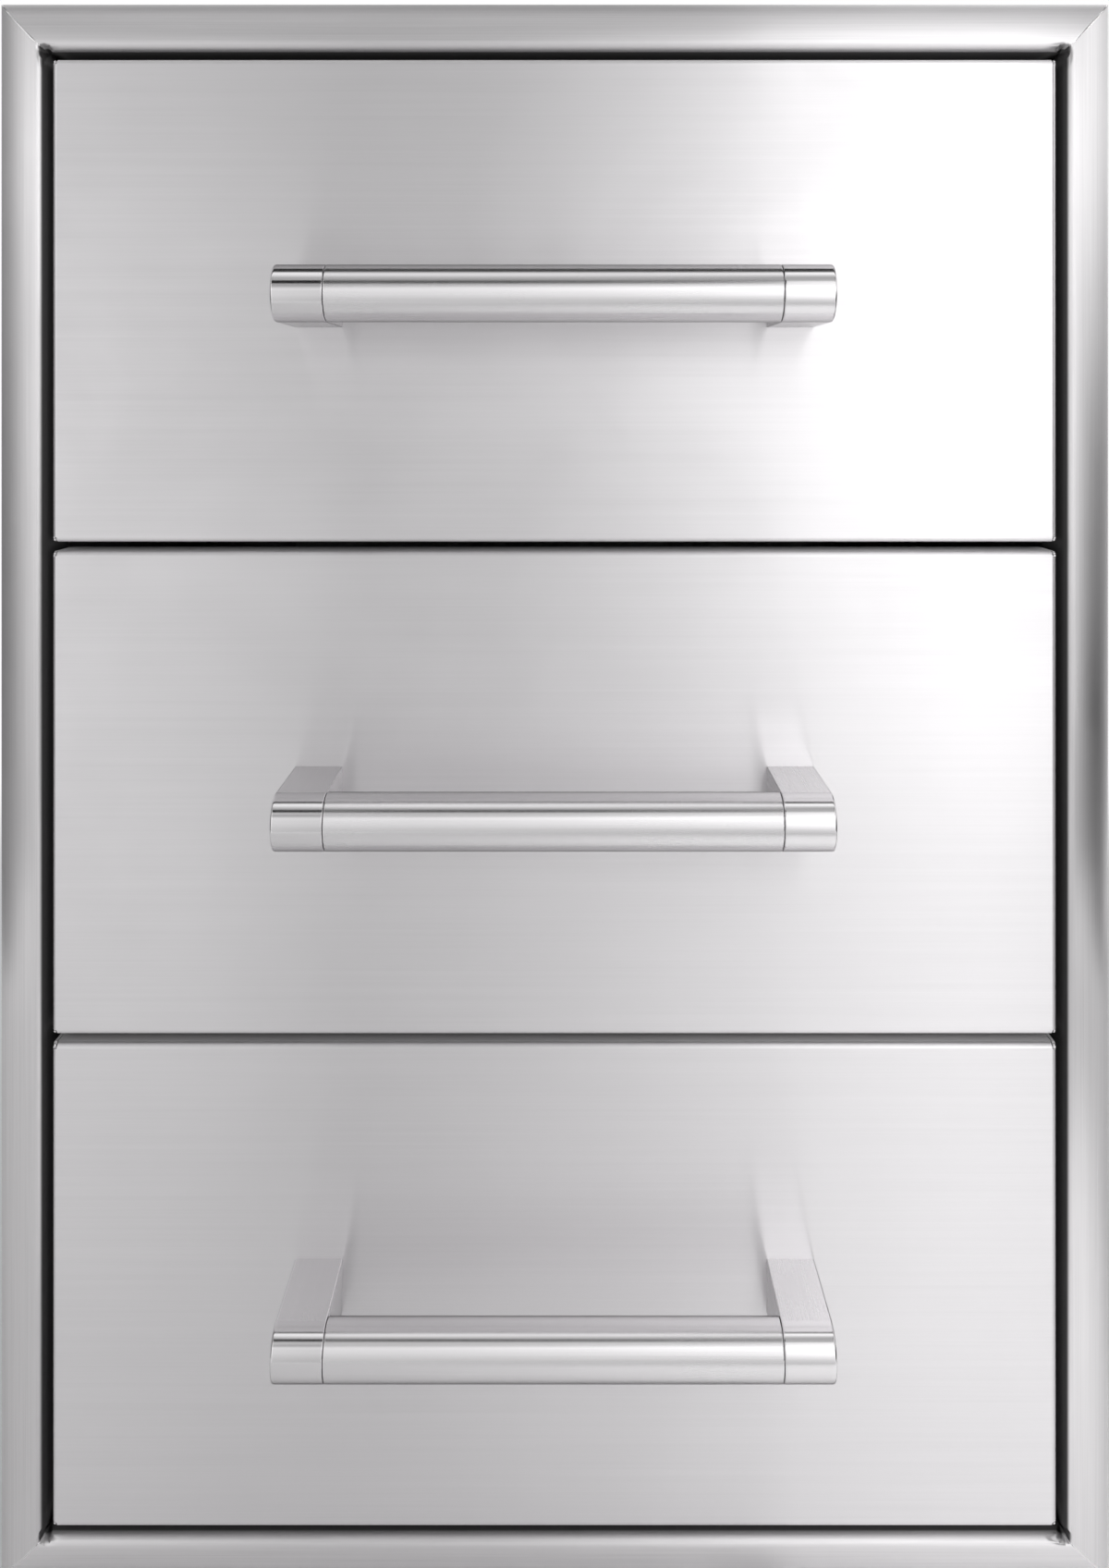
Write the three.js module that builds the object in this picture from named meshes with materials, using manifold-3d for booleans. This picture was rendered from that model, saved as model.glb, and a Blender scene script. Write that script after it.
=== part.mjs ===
// A built-in outdoor kitchen drawer unit in brushed stainless steel.
// Three equal drawers sit inside a mitred bullnose trim frame. Each drawer has a folded front,
// a folded tray, a round-bar handle on two brackets, and a pair of full-extension slides
// whose three members roll on balls held in cages.
// Millimetres. X runs to the right, Y into the wall and Z up, and Y = 0 is the face of the wall.
// The origin is the middle of the rear lip of the bottom trim rail.

import * as THREE from "three";
import { mergeVertices } from "three/addons/utils/BufferGeometryUtils.js";
import Module from "manifold-3d";

const wasm = await Module();
wasm.setup();

// Opening and sheet
const openingWidth = 419;
const openingHeight = 610;
const sheet = 1.2;
const seatGap = 0.3;
const overrun = 5;

// Trim frame
const trimWidth = 22;
const trimProud = 17.4;
const trimCrest = 3.8;
const trimLip = 9;
const trimEdgeBend = 2;
const jambDepth = 12;

// Drawer fronts
const sideGap = 3.9;
const topGap = 4.2;
const rowGap = 4;
const bottomGap = 5.6;
const frontProud = 1.1;
const frontDepth = 20;
const frontBend = 1.9;
const cornerRelief = 1.3;
const linerReturn = 11;
const rowNames = ["top", "middle", "bottom"];

// Handles
const barDiameter = 22;
const barWall = 1.5;
const handleLength = 212.5;
const bracketWidth = 19.5;
const bracketEdge = 0.7;
const standOff = 39.3;
const spigotLength = 8;
const studDiameter = 5;
const studReach = 18;
const strapThickness = 3;
const strapHeight = 26;

// Cabinet
const cabinetFlange = 14;
const rearRoom = 34;

// Trays
const traySheet = 1;
const trayTopDrop = 20;
const trayRise = 27;
const trayBend = 3;
const trayRim = 5;

// Slides
const slideLength = 450;
const slideHeight = 45;
const slideThickness = 12.7;
const slideSheet = 1.2;
const slideBend = 1.1;
const slideDrop = 56;
const slideSetback = 2;
const cageSheet = 0.6;
const cageEndRoom = 3;
const ballDiameter = 4;
const ballClearance = 0.1;
const ballsPerRow = 3;
const slotLength = 14;
const slotWidth = 5;
const slotPlaceShares = [-0.4, 0.4];

// The middle member moves half as far as the drawer, and each cage halfway between its members.
const middleTravelShare = 0.5;

// Facets
const halfRoundSteps = 6;
const barSteps = 24;
const trimSteps = 4;
const bendSteps = 2;
const edgeSteps = 1;
const roundHoleSteps = 8;
const lipTurnShare = 0.58;
const weldTolerance = 1e-4;

// Derived sizes of the frame and the rows
const halfOpening = openingWidth / 2;
const lipMiddle = trimWidth - (trimLip + trimEdgeBend) / 2;
const openingBottom = lipMiddle;
const openingTop = openingBottom + openingHeight;
const openingCentre = (openingBottom + openingTop) / 2;
const facePlane = -(trimProud + frontProud);
const rowCount = rowNames.length;
const frontWidth = openingWidth - 2 * sideGap;
const frontHeight = (openingHeight - topGap - bottomGap - (rowCount - 1) * rowGap) / rowCount;
const rowPitch = frontHeight + rowGap;
const topRowCentre = openingTop - topGap - frontHeight / 2;

// Derived sizes of the cabinet, measured from the jambs of the trim
const wallInset = sheet + seatGap;
const innerHalfWidth = halfOpening + wallInset;
const slideStart = jambDepth + slideSetback;
const slideEnd = slideStart + slideLength;
const cabinetDepth = slideEnd + rearRoom;
const panelFront = seatGap * 2;

// Derived sizes inside a slide. P runs from the cabinet wall towards the tray, Q up from mid-height.
const ballRadius = ballDiameter / 2;
const ballRoom = ballRadius + ballClearance;
const raceRadius = ballRoom + slideSheet / 2;
const outerWebP = slideSheet / 2;
const outerCageP = slideSheet + seatGap + cageSheet / 2;
const middleWebP = slideSheet + 2 * seatGap + cageSheet + slideSheet / 2;
const innerCageP = middleWebP + slideSheet / 2 + seatGap + cageSheet / 2;
const innerWebP = slideThickness - slideSheet / 2;
const outerFlangeQ = (slideHeight - slideSheet) / 2;
const outerBallQ = outerFlangeQ - raceRadius;
const middleFlangeQ = outerBallQ - raceRadius;
const innerBallQ = middleFlangeQ - raceRadius;
const innerFlangeQ = innerBallQ - raceRadius;
const ballP = innerWebP - slideSheet / 2 - seatGap - raceRadius - slideSheet / 2 - seatGap;
const innerFlangeEndP = innerCageP + cageSheet / 2 + 2 * seatGap;
const cageFlangeEndP = ballP + ballRoom - 2 * seatGap;
const cageTravelShare = middleTravelShare / 2;
const cageLength = slideLength * (1 - middleTravelShare) - 2 * cageEndRoom;
const cageStart = slideStart + slideLength * cageTravelShare + cageEndRoom;
const lipTurn = Math.PI * lipTurnShare;

// Derived sizes of the tray, which hangs between the slides of its row
const trayHalfWidth = innerHalfWidth - slideThickness - 2 * seatGap;
const trayFront = facePlane + frontDepth + seatGap;
const trayDepth = slideEnd - trayFront;
const trayHeight = frontHeight - trayTopDrop - trayRise;
const trayTopZ = frontHeight / 2 - trayTopDrop;
const trayBottomZ = trayTopZ - trayHeight;
const slideZ = frontHeight / 2 - slideDrop;

// Finishes
const brushedSteel = new THREE.MeshStandardMaterial({ color: 0xd2d3d4, roughness: 0.32, metalness: 1 });
const polishedSteel = new THREE.MeshStandardMaterial({ color: 0xdadbdc, roughness: 0.18, metalness: 1 });
const sheetSteel = new THREE.MeshStandardMaterial({ color: 0xb9bbbd, roughness: 0.45, metalness: 1 });
const zincSteel = new THREE.MeshStandardMaterial({ color: 0xa9adb3, roughness: 0.38, metalness: 1 });
const cageSteel = new THREE.MeshStandardMaterial({ color: 0x8f939a, roughness: 0.5, metalness: 1 });

const axisX = new THREE.Vector3(1, 0, 0);
const axisY = new THREE.Vector3(0, 1, 0);
const axisZ = new THREE.Vector3(0, 0, 1);

// A closed three.js geometry as a solid that can be joined and cut.
function toSolid(geometry) {
  const bare = geometry.index ? geometry.toNonIndexed() : geometry.clone();
  bare.deleteAttribute("normal");
  bare.deleteAttribute("uv");
  const merged = mergeVertices(bare, weldTolerance);
  const vertProperties = merged.attributes.position.array;
  const triVerts = new Uint32Array(merged.index.array);
  return new wasm.Manifold(new wasm.Mesh({ numProp: 3, vertProperties, triVerts }));
}

function toGeometry(solid) {
  const mesh = solid.getMesh();
  const geometry = new THREE.BufferGeometry();
  geometry.setAttribute("position", new THREE.BufferAttribute(mesh.vertProperties, mesh.numProp));
  geometry.setIndex(new THREE.BufferAttribute(mesh.triVerts, 1));
  geometry.computeVertexNormals();
  return geometry;
}

// A flat outline pulled out along X, Y or Z, from one place to the other.
// Its two coordinates are (y, z), (x, z) or (x, y).
function prism(outline, axis, from, to) {
  const options = { depth: to - from, bevelEnabled: false, curveSegments: bendSteps };
  const geometry = new THREE.ExtrudeGeometry(outline, options);
  if (axis === "x") {
    geometry.applyMatrix4(new THREE.Matrix4().makeBasis(axisY, axisZ, axisX));
    return geometry.translate(from, 0, 0);
  }
  if (axis === "y") {
    geometry.applyMatrix4(new THREE.Matrix4().makeBasis(axisX, axisZ, axisY.clone().negate()));
    return geometry.translate(0, to, 0);
  }
  return geometry.translate(0, 0, from);
}

function rectangle(left, right, bottom, top) {
  const outline = new THREE.Shape();
  outline.moveTo(left, bottom);
  outline.lineTo(right, bottom);
  outline.lineTo(right, top);
  outline.lineTo(left, top);
  outline.closePath();
  return outline;
}

function plate(width, depth, height) {
  const outline = rectangle(width[0], width[1], height[0], height[1]);
  return prism(outline, "y", depth[0], depth[1]);
}

// The outline of a folded sheet, laid out on both sides of its centre line.
function sheetOutline(centreLine, thickness, steps = bendSteps) {
  const points = centreLine.getPoints(steps).filter((point, i, all) => {
    return i === 0 || point.distanceTo(all[i - 1]) > weldTolerance;
  });
  const last = points.length - 1;
  const sides = [[], []];
  points.forEach((point, i) => {
    const before = points[Math.max(i - 1, 0)];
    const after = points[Math.min(i + 1, last)];
    const into = i > 0 ? point.clone().sub(before).normalize() : after.clone().sub(point).normalize();
    const out = i < last ? after.clone().sub(point).normalize() : into.clone();
    const along = into.clone().add(out).normalize();
    const reach = thickness / 2 / along.dot(out);
    const across = new THREE.Vector2(-along.y, along.x).multiplyScalar(reach);
    sides[0].push(point.clone().add(across));
    sides[1].push(point.clone().sub(across));
  });
  const outline = new THREE.Shape(sides[1].concat(sides[0].reverse()));
  return outline;
}

// The centre line of a folded sheet: straight runs between corners, with one bend radius.
function foldedPath(corners, bendRadius) {
  const path = new THREE.Path();
  path.moveTo(corners[0].x, corners[0].y);
  for (let i = 1; i < corners.length - 1; i += 1) {
    const into = corners[i].clone().sub(corners[i - 1]).normalize();
    const out = corners[i + 1].clone().sub(corners[i]).normalize();
    const turn = Math.atan2(into.cross(out), into.dot(out));
    const setback = bendRadius * Math.tan(Math.abs(turn) / 2);
    const start = corners[i].clone().addScaledVector(into, -setback);
    const side = new THREE.Vector2(-into.y, into.x).multiplyScalar(Math.sign(turn) * bendRadius);
    const centre = start.clone().add(side);
    const startAngle = Math.atan2(-side.y, -side.x);
    path.lineTo(start.x, start.y);
    path.absarc(centre.x, centre.y, bendRadius, startAngle, startAngle + turn, turn < 0);
  }
  const end = corners[corners.length - 1];
  path.lineTo(end.x, end.y);
  return path;
}

function corner(x, y) {
  return new THREE.Vector2(x, y);
}

// A rectangle whose two corners on the low side of its first coordinate are rounded.
function roundedFace(near, far, low, high, radius) {
  const outline = new THREE.Shape();
  const quarter = Math.PI / 2;
  outline.moveTo(far, low);
  outline.lineTo(far, high);
  outline.lineTo(near + radius, high);
  outline.absarc(near + radius, high - radius, radius, quarter, 2 * quarter, false);
  outline.lineTo(near, low + radius);
  outline.absarc(near + radius, low + radius, radius, 2 * quarter, 3 * quarter, false);
  outline.closePath();
  return outline;
}

// A block whose face at `near` has rounded edges on all four sides.
function roundedBlock(near, far, halfWidth, halfHeight, radius) {
  const side = roundedFace(near, far, -halfHeight, halfHeight, radius);
  const plan = roundedFace(near, far, -halfWidth, halfWidth, radius);
  const turned = new THREE.Matrix4().makeBasis(axisY, axisX, axisZ.clone().negate());
  const options = { depth: 2 * halfHeight, bevelEnabled: false, curveSegments: bendSteps };
  const upright = new THREE.ExtrudeGeometry(plan, options);
  upright.applyMatrix4(turned).translate(0, 0, halfHeight);
  return toSolid(prism(side, "x", -halfWidth, halfWidth)).intersect(toSolid(upright));
}

// An open pan folded from sheet: a face with a return on each side.
function foldedPan(near, depth, halfWidth, halfHeight, bend) {
  const outer = roundedBlock(near, near + depth, halfWidth, halfHeight, bend);
  const innerBend = Math.max(bend - sheet, seatGap);
  const innerFar = near + depth + overrun;
  const inner = roundedBlock(near + sheet, innerFar, halfWidth - sheet, halfHeight - sheet, innerBend);
  return outer.subtract(inner);
}

function cylinderAlongY(radius, from, to, steps) {
  const geometry = new THREE.CylinderGeometry(radius, radius, to - from, steps);
  return geometry.translate(0, (from + to) / 2, 0);
}

function cylinderAlongX(radius, from, to, steps) {
  const geometry = new THREE.CylinderGeometry(radius, radius, to - from, steps);
  return geometry.rotateZ(-Math.PI / 2).translate((from + to) / 2, 0, 0);
}

// The trim section: jamb, inner round, crest, long elliptical round, edge bend and rear lip.
// U runs outwards from the opening and V forwards from the wall.
function trimSection() {
  const quarter = Math.PI / 2;
  const half = sheet / 2;
  const innerRound = trimCrest - half;
  const edgeV = trimEdgeBend + half;
  const fallU = trimWidth - trimCrest - half;
  const fallV = trimProud - half - edgeV;
  const path = new THREE.Path();
  path.moveTo(half, -jambDepth);
  path.lineTo(half, trimProud - trimCrest);
  path.absarc(trimCrest, trimProud - trimCrest, innerRound, 2 * quarter, quarter, true);
  path.absellipse(trimCrest, edgeV, fallU, fallV, quarter, 0, true, 0);
  path.absarc(trimWidth - trimEdgeBend - half, edgeV, trimEdgeBend, 0, -quarter, true);
  path.lineTo(trimWidth - trimLip, half);
  return sheetOutline(path, sheet, trimSteps);
}

// One rail of the trim frame with both ends mitred, drawn as the bottom rail round the opening's centre.
function trimRail(clearLength, distance) {
  const seam = seatGap * Math.SQRT1_2;
  const geometry = new THREE.ExtrudeGeometry(trimSection(), { depth: 1, bevelEnabled: false });
  const place = geometry.attributes.position;
  for (let i = 0; i < place.count; i += 1) {
    const u = place.getX(i);
    const reach = clearLength / 2 + u - seam;
    const along = place.getZ(i) > 0 ? reach : -reach;
    place.setXYZ(i, -along, -place.getY(i), -distance - u);
  }
  return geometry;
}

// A cabinet side: a flat wall with its rear flange turned inwards, notched where the caps pass.
function sidePanel(height) {
  const wall = sheet / 2;
  const corners = [
    corner(wall, panelFront),
    corner(wall, cabinetDepth - wall),
    corner(-cabinetFlange, cabinetDepth - wall),
  ];
  const outline = sheetOutline(foldedPath(corners, frontBend), sheet);
  const folded = toSolid(prism(outline, "z", -height / 2, height / 2));
  const notch = height / 2 - sheet - cabinetFlange - seatGap;
  const across = [-cabinetFlange - overrun, 0];
  const deep = [0, cabinetDepth + overrun];
  const above = toSolid(plate(across, deep, [notch, height / 2 + overrun]));
  const below = toSolid(plate(across, deep, [-height / 2 - overrun, -notch]));
  return toGeometry(folded.subtract(above).subtract(below));
}

// The cabinet's top or bottom: a panel whose flanges lap the inside of the side walls, behind the jambs.
function cappingPanel() {
  const wall = sheet / 2;
  const reach = innerHalfWidth - seatGap - wall;
  const corners = [
    corner(-reach, -cabinetFlange),
    corner(-reach, wall),
    corner(reach, wall),
    corner(reach, -cabinetFlange),
  ];
  const outline = sheetOutline(foldedPath(corners, frontBend), sheet);
  const folded = toSolid(prism(outline, "y", panelFront, cabinetDepth));
  const beyond = innerHalfWidth + overrun;
  const beside = plate([-beyond, beyond], [-overrun, jambDepth + seatGap], [-cabinetFlange - overrun, 0]);
  return toGeometry(folded.subtract(toSolid(beside)));
}

function backPanel(height) {
  const half = innerHalfWidth + sheet;
  const from = cabinetDepth + seatGap;
  return plate([-half, half], [from, from + sheet], [-height / 2, height / 2]);
}

// A drawer front: the folded pan, with its corner reliefs and the holes for the handle's studs.
function drawerFront() {
  let solid = foldedPan(0, frontDepth, frontWidth / 2, frontHeight / 2, frontBend);
  for (const x of [-frontWidth / 2, frontWidth / 2]) {
    for (const z of [-frontHeight / 2, frontHeight / 2]) {
      const relief = cylinderAlongY(cornerRelief, -overrun, frontBend + sheet, roundHoleSteps);
      solid = solid.subtract(toSolid(relief.translate(x, 0, z)));
    }
  }
  for (const x of studPlaces()) {
    const hole = cylinderAlongY(studDiameter / 2 + seatGap, -overrun, sheet + seatGap, roundHoleSteps);
    solid = solid.subtract(toSolid(hole.translate(x, 0, 0)));
  }
  return toGeometry(solid);
}

// The inner skin of a front: a pan turned the other way, nested inside the front's returns.
function drawerLiner() {
  const inset = sheet + seatGap;
  const solid = foldedPan(0, linerReturn, frontWidth / 2 - inset, frontHeight / 2 - inset, frontBend);
  return toGeometry(solid).rotateZ(Math.PI).translate(0, frontDepth, 0);
}

// The tray: a tub with rounded bottom edges and a rim turned outwards on three sides.
function drawerTray() {
  const bottomOut = roundedTub(trayHalfWidth, trayBottomZ, trayTopZ, trayBend);
  const bottomIn = roundedTub(trayHalfWidth - traySheet, trayBottomZ + traySheet, trayTopZ + overrun,
    trayBend - traySheet);
  const outer = toSolid(prism(bottomOut, "y", 0, trayDepth));
  const inner = toSolid(prism(bottomIn, "y", traySheet, trayDepth - traySheet));
  const rimOutline = rectangle(-trayHalfWidth - trayRim, trayHalfWidth + trayRim, 0, trayDepth + trayRim);
  const within = trayHalfWidth - traySheet;
  rimOutline.holes.push(rectangle(-within, within, traySheet, trayDepth - traySheet));
  const rim = toSolid(prism(rimOutline, "z", trayTopZ - traySheet, trayTopZ));
  return toGeometry(outer.subtract(inner).add(rim));
}

// A tub's end view: square at the top and rounded at the bottom.
function roundedTub(halfWidth, bottom, top, radius) {
  const quarter = Math.PI / 2;
  const outline = new THREE.Shape();
  outline.moveTo(halfWidth, top);
  outline.lineTo(-halfWidth, top);
  outline.lineTo(-halfWidth, bottom + radius);
  outline.absarc(radius - halfWidth, bottom + radius, radius, 2 * quarter, 3 * quarter, false);
  outline.lineTo(halfWidth - radius, bottom);
  outline.absarc(halfWidth - radius, bottom + radius, radius, 3 * quarter, 4 * quarter, false);
  outline.closePath();
  return outline;
}

function studPlaces() {
  const reach = (handleLength - bracketWidth) / 2;
  return [-reach, reach];
}

// The handle's bar: a tube, open at both ends, that slips over the spigots of its brackets.
function handleBar() {
  const radius = barDiameter / 2;
  const half = handleLength / 2 - bracketWidth - seatGap;
  const profile = [
    corner(radius - barWall, -half),
    corner(radius, -half),
    corner(radius, half),
    corner(radius - barWall, half),
    corner(radius - barWall, -half),
  ];
  return new THREE.LatheGeometry(profile, barSteps).rotateZ(Math.PI / 2);
}

// A handle bracket: flat above and below, round in front, with a spigot for the bar.
// It is drawn as the right one, from its inner end at X = 0.
function handleBracket() {
  const radius = barDiameter / 2;
  const rear = -seatGap;
  const side = new THREE.Shape();
  const quarter = Math.PI / 2;
  side.moveTo(rear - bracketEdge, radius - bracketEdge);
  side.lineTo(-standOff, radius - bracketEdge);
  side.absarc(-standOff, 0, radius - bracketEdge, quarter, 3 * quarter, false);
  side.lineTo(rear - bracketEdge, bracketEdge - radius);
  side.closePath();
  const options = {
    depth: bracketWidth - 2 * bracketEdge,
    bevelSize: bracketEdge,
    bevelThickness: bracketEdge,
    bevelSegments: edgeSteps,
    curveSegments: halfRoundSteps,
  };
  const block = new THREE.ExtrudeGeometry(side, options);
  block.applyMatrix4(new THREE.Matrix4().makeBasis(axisY, axisZ, axisX)).translate(bracketEdge, 0, 0);
  const spigotRadius = radius - barWall - seatGap;
  const spigot = cylinderAlongX(spigotRadius, -spigotLength, bracketWidth / 2, barSteps);
  const bore = cylinderAlongY(studDiameter / 2 + seatGap, -studReach - 2 * seatGap, overrun, roundHoleSteps);
  const solid = toSolid(block).add(toSolid(spigot.translate(0, -standOff, 0)));
  return toGeometry(solid.subtract(toSolid(bore.translate(bracketWidth / 2, 0, 0))));
}

// The strap behind the face sheet, with the two welded studs that hold the brackets.
function studPlate() {
  const from = sheet + seatGap;
  const half = handleLength / 2;
  const depth = [from, from + strapThickness];
  let solid = toSolid(plate([-half, half], depth, [-strapHeight / 2, strapHeight / 2]));
  for (const x of studPlaces()) {
    const stud = cylinderAlongY(studDiameter / 2, -studReach, from + strapThickness / 2, roundHoleSteps);
    solid = solid.add(toSolid(stud.translate(x, 0, 0)));
  }
  return toGeometry(solid);
}

// A slide member whose flanges curl round a row of balls above and one below.
// P is the first coordinate and Q the second.
function curledMember(webP, flangeQ, ballQ) {
  const quarter = Math.PI / 2;
  const path = new THREE.Path();
  path.moveTo(ballP + raceRadius * Math.sin(lipTurn), -ballQ - raceRadius * Math.cos(lipTurn));
  path.absarc(ballP, -ballQ, raceRadius, lipTurn - quarter, -quarter, true);
  path.absarc(webP + slideBend, slideBend - flangeQ, slideBend, -quarter, -2 * quarter, true);
  path.absarc(webP + slideBend, flangeQ - slideBend, slideBend, 2 * quarter, quarter, true);
  path.absarc(ballP, ballQ, raceRadius, quarter, quarter - lipTurn, true);
  return sheetOutline(path, slideSheet);
}

// The member on the tray: a channel that opens towards the cabinet wall.
function innerMember() {
  const corners = [
    corner(innerFlangeEndP, -innerFlangeQ),
    corner(innerWebP, -innerFlangeQ),
    corner(innerWebP, innerFlangeQ),
    corner(innerFlangeEndP, innerFlangeQ),
  ];
  return sheetOutline(foldedPath(corners, slideBend), slideSheet);
}

// A member's section pulled out along the slide, with its screw slots through the web.
function slideMember(outline) {
  let solid = toSolid(prism(outline, "y", slideStart, slideEnd));
  for (const share of slotPlaceShares) {
    const middle = (slideStart + slideEnd) / 2 + share * slideLength;
    const slot = slotCutter(middle);
    solid = solid.subtract(slot);
  }
  return toGeometry(solid);
}

// A round-ended slot, long along the slide, that cuts a web anywhere in the slide's thickness.
function slotCutter(middle) {
  const quarter = Math.PI / 2;
  const radius = slotWidth / 2;
  const straight = (slotLength - slotWidth) / 2;
  const outline = new THREE.Shape();
  outline.absarc(middle + straight, 0, radius, -quarter, quarter, false);
  outline.absarc(middle - straight, 0, radius, quarter, 3 * quarter, false);
  outline.closePath();
  const options = { depth: slideThickness + 2 * overrun, bevelEnabled: false, curveSegments: bendSteps };
  const geometry = new THREE.ExtrudeGeometry(outline, options);
  geometry.applyMatrix4(new THREE.Matrix4().makeBasis(axisY, axisZ, axisX)).translate(-overrun, 0, 0);
  return toSolid(geometry);
}

// A ball cage: a thin channel with a row of balls in each flange.
function ballCage(webP, ballQ) {
  const corners = [
    corner(cageFlangeEndP, -ballQ),
    corner(webP, -ballQ),
    corner(webP, ballQ),
    corner(cageFlangeEndP, ballQ),
  ];
  const outline = sheetOutline(foldedPath(corners, cageSheet), cageSheet);
  let solid = toSolid(prism(outline, "y", cageStart, cageStart + cageLength));
  const ballPitch = cageLength / ballsPerRow;
  for (let i = 0; i < ballsPerRow; i += 1) {
    for (const q of [-ballQ, ballQ]) {
      const ball = new THREE.IcosahedronGeometry(ballRadius);
      const y = cageStart + ballPitch * i + ballPitch / 2;
      solid = solid.add(toSolid(ball.translate(ballP, y, q)));
    }
  }
  return toGeometry(solid);
}

function named(name, geometry, material) {
  const mesh = new THREE.Mesh(geometry, material);
  mesh.name = name;
  return mesh;
}

// The trim frame: four mitred rails round the opening.
function trimFrame() {
  const frame = new THREE.Group();
  const rails = [
    { name: "trim_bottom", along: openingWidth, away: openingHeight / 2 },
    { name: "trim_left", along: openingHeight, away: openingWidth / 2 },
    { name: "trim_top", along: openingWidth, away: openingHeight / 2 },
    { name: "trim_right", along: openingHeight, away: openingWidth / 2 },
  ];
  rails.forEach((rail, i) => {
    const mesh = named(rail.name, trimRail(rail.along, rail.away), brushedSteel);
    mesh.rotation.y = (i * Math.PI) / 2;
    frame.add(mesh);
  });
  frame.position.set(0, 0, openingCentre);
  return frame;
}

// The cabinet box behind the wall: two sides, a top, a bottom and a back.
function cabinetBox() {
  const box = new THREE.Group();
  const innerHeight = openingHeight + 2 * wallInset;
  const boxHeight = innerHeight + 2 * sheet;
  const right = named("side_panel_right", sidePanel(boxHeight), sheetSteel);
  right.position.x = innerHalfWidth;
  const left = named("side_panel_left", sidePanel(boxHeight).rotateY(Math.PI), sheetSteel);
  left.position.x = -innerHalfWidth;
  const top = named("top_panel", cappingPanel(), sheetSteel);
  top.position.z = innerHeight / 2;
  const bottom = named("bottom_panel", cappingPanel().rotateY(Math.PI), sheetSteel);
  bottom.position.z = -innerHeight / 2;
  const back = named("back_panel", backPanel(boxHeight), sheetSteel);
  box.add(right, left, top, bottom, back);
  box.position.set(0, 0, openingCentre);
  return box;
}

// A slide of one row, with P running from its cabinet wall towards the tray.
function slide(prefix) {
  const group = new THREE.Group();
  const outer = curledMember(outerWebP, outerFlangeQ, outerBallQ);
  const middle = curledMember(middleWebP, middleFlangeQ, innerBallQ);
  group.add(named(prefix + "_outer_member", slideMember(outer), zincSteel));
  group.add(named(prefix + "_middle_member", slideMember(middle), zincSteel));
  group.add(named(prefix + "_inner_member", slideMember(innerMember()), zincSteel));
  group.add(named(prefix + "_outer_cage", ballCage(outerCageP, outerBallQ), cageSteel));
  group.add(named(prefix + "_inner_cage", ballCage(innerCageP, innerBallQ), cageSteel));
  return group;
}

// A handle: its bar, two brackets and the stud plate behind the face sheet.
function handle(row) {
  const group = new THREE.Group();
  const bar = named(row + "_handle_bar", handleBar(), brushedSteel);
  bar.position.y = -standOff;
  group.add(bar);
  const inner = handleLength / 2 - bracketWidth;
  const right = named(row + "_handle_bracket_right", handleBracket(), polishedSteel);
  right.position.x = inner;
  const left = named(row + "_handle_bracket_left", handleBracket().rotateY(Math.PI), polishedSteel);
  left.position.x = -inner;
  group.add(right, left);
  group.add(named(row + "_handle_stud_plate", studPlate(), zincSteel));
  return group;
}

// One row: the drawer with its handle, and the slides on both sides of its tray.
function drawerRow(row, centreZ) {
  const group = new THREE.Group();
  const drawer = new THREE.Group();
  drawer.add(named(row + "_drawer_front", drawerFront(), brushedSteel));
  drawer.add(named(row + "_drawer_liner", drawerLiner(), sheetSteel));
  drawer.add(handle(row));
  drawer.position.y = facePlane;
  const tray = named(row + "_drawer_tray", drawerTray(), sheetSteel);
  tray.position.y = trayFront;
  const left = slide(row + "_left_slide");
  left.position.set(seatGap - innerHalfWidth, 0, slideZ);
  const right = slide(row + "_right_slide");
  right.rotation.y = Math.PI;
  right.position.set(innerHalfWidth - seatGap, 0, slideZ);
  group.add(drawer, tray, left, right);
  group.position.z = centreZ;
  return group;
}

const drawerUnit = new THREE.Group();
drawerUnit.name = "outdoor_kitchen_drawer_unit";
drawerUnit.add(trimFrame(), cabinetBox());
rowNames.forEach((row, i) => {
  drawerUnit.add(drawerRow(row, topRowCentre - i * rowPitch));
});

export default drawerUnit;
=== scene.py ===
# %% [markdown]
# # A built-in drawer unit in brushed stainless steel
# The real object is a cabinet that slides into a hole in an outdoor kitchen's wall. What shows is a
# rounded trim frame, three folded drawer fronts and three round-bar handles, all in brushed steel.
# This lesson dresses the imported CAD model: the CAD gives every size and place, and the cells below
# add the smooth bends, the welds, the fasteners, the balls of the slides, the finishes and the light.

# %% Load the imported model
import math

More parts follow.
